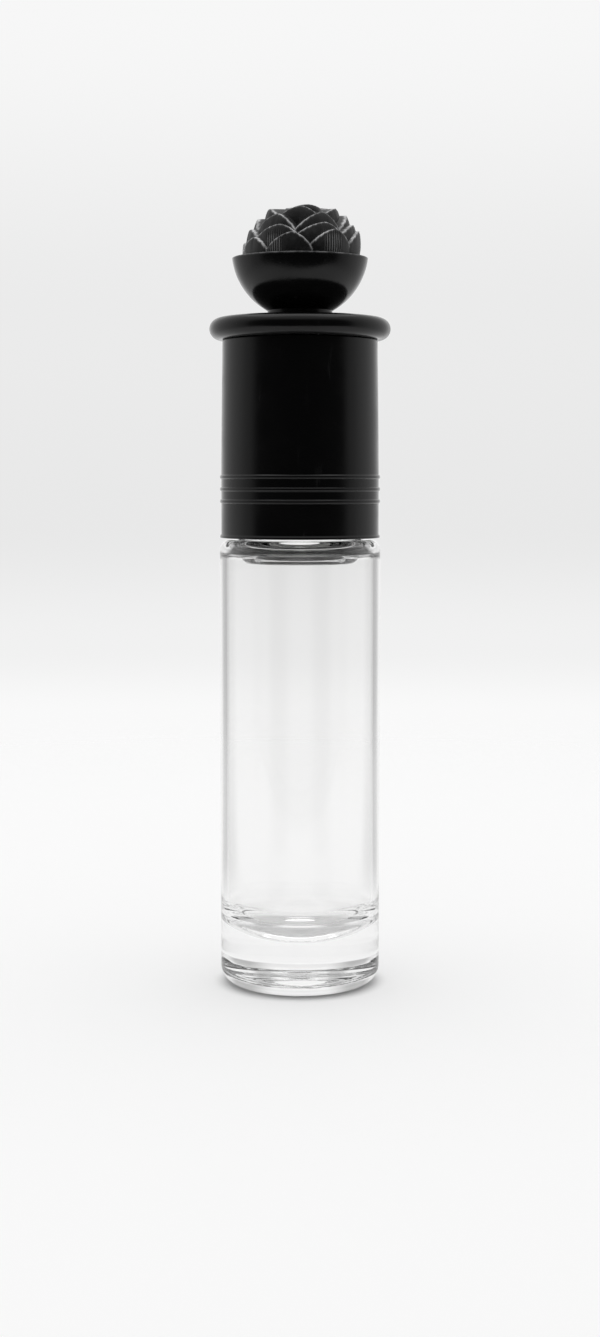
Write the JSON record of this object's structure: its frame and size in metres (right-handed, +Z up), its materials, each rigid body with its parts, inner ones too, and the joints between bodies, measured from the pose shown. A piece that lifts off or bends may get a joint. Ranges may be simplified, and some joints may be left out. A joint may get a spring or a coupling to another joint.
{
  "type": "roll-on perfume bottle",
  "caption": "Round clear glass roll-on bottle with a ball applicator in its neck and a black screw cap topped by a moulded rose in a bowl.",
  "frame": {"origin": "centre of the base, on the surface it stands on", "axes": "+Z up along the bottle's axis, -Y towards the front"},
  "size_m": [0.0224, 0.0224, 0.0966],
  "materials": {
    "clear_glass": "clear, polished",
    "natural_plastic": "natural white, satin",
    "ball_steel": "polished",
    "soft_seal": "soft white rubber",
    "liner_plastic": "black, satin",
    "black_plastic": "black, glossy",
    "rose_plastic": "black, satin, petal edges rubbed grey"
  },
  "bodies": {
    "bottle": {"glass_bottle": "clear_glass", "roller_housing": "natural_plastic"},
    "ball": {"roller_ball": "ball_steel"},
    "seals": {"seal_washer": "soft_seal", "ball_pad": "soft_seal"},
    "cap": {"cap_liner": "liner_plastic", "cap_shell": "black_plastic", "top_disc": "black_plastic", "finial_bowl": "black_plastic", "rose_bloom": "rose_plastic"}
  },
  "joints": [
    {"name": "ball_roll", "type": "hinge", "parent": "bottle", "child": "ball", "pos_m": [0, 0, 0.0689], "axis": [1, 0, 0], "continuous": true},
    {"name": "cap_rise", "type": "slide", "parent": "bottle", "child": "seals", "axis": [0, 0, 1], "range_m": [0, 0.021]},
    {"name": "cap_turn", "type": "hinge", "parent": "seals", "child": "cap", "pos_m": [0, 0, 0.07], "axis": [0, 0, 1], "range_deg": [0, 2880]}
  ],
  "couplings": [
    {"joint": "cap_rise", "follows": "cap_turn", "m_per_rad": 0.00039789}
  ]
}
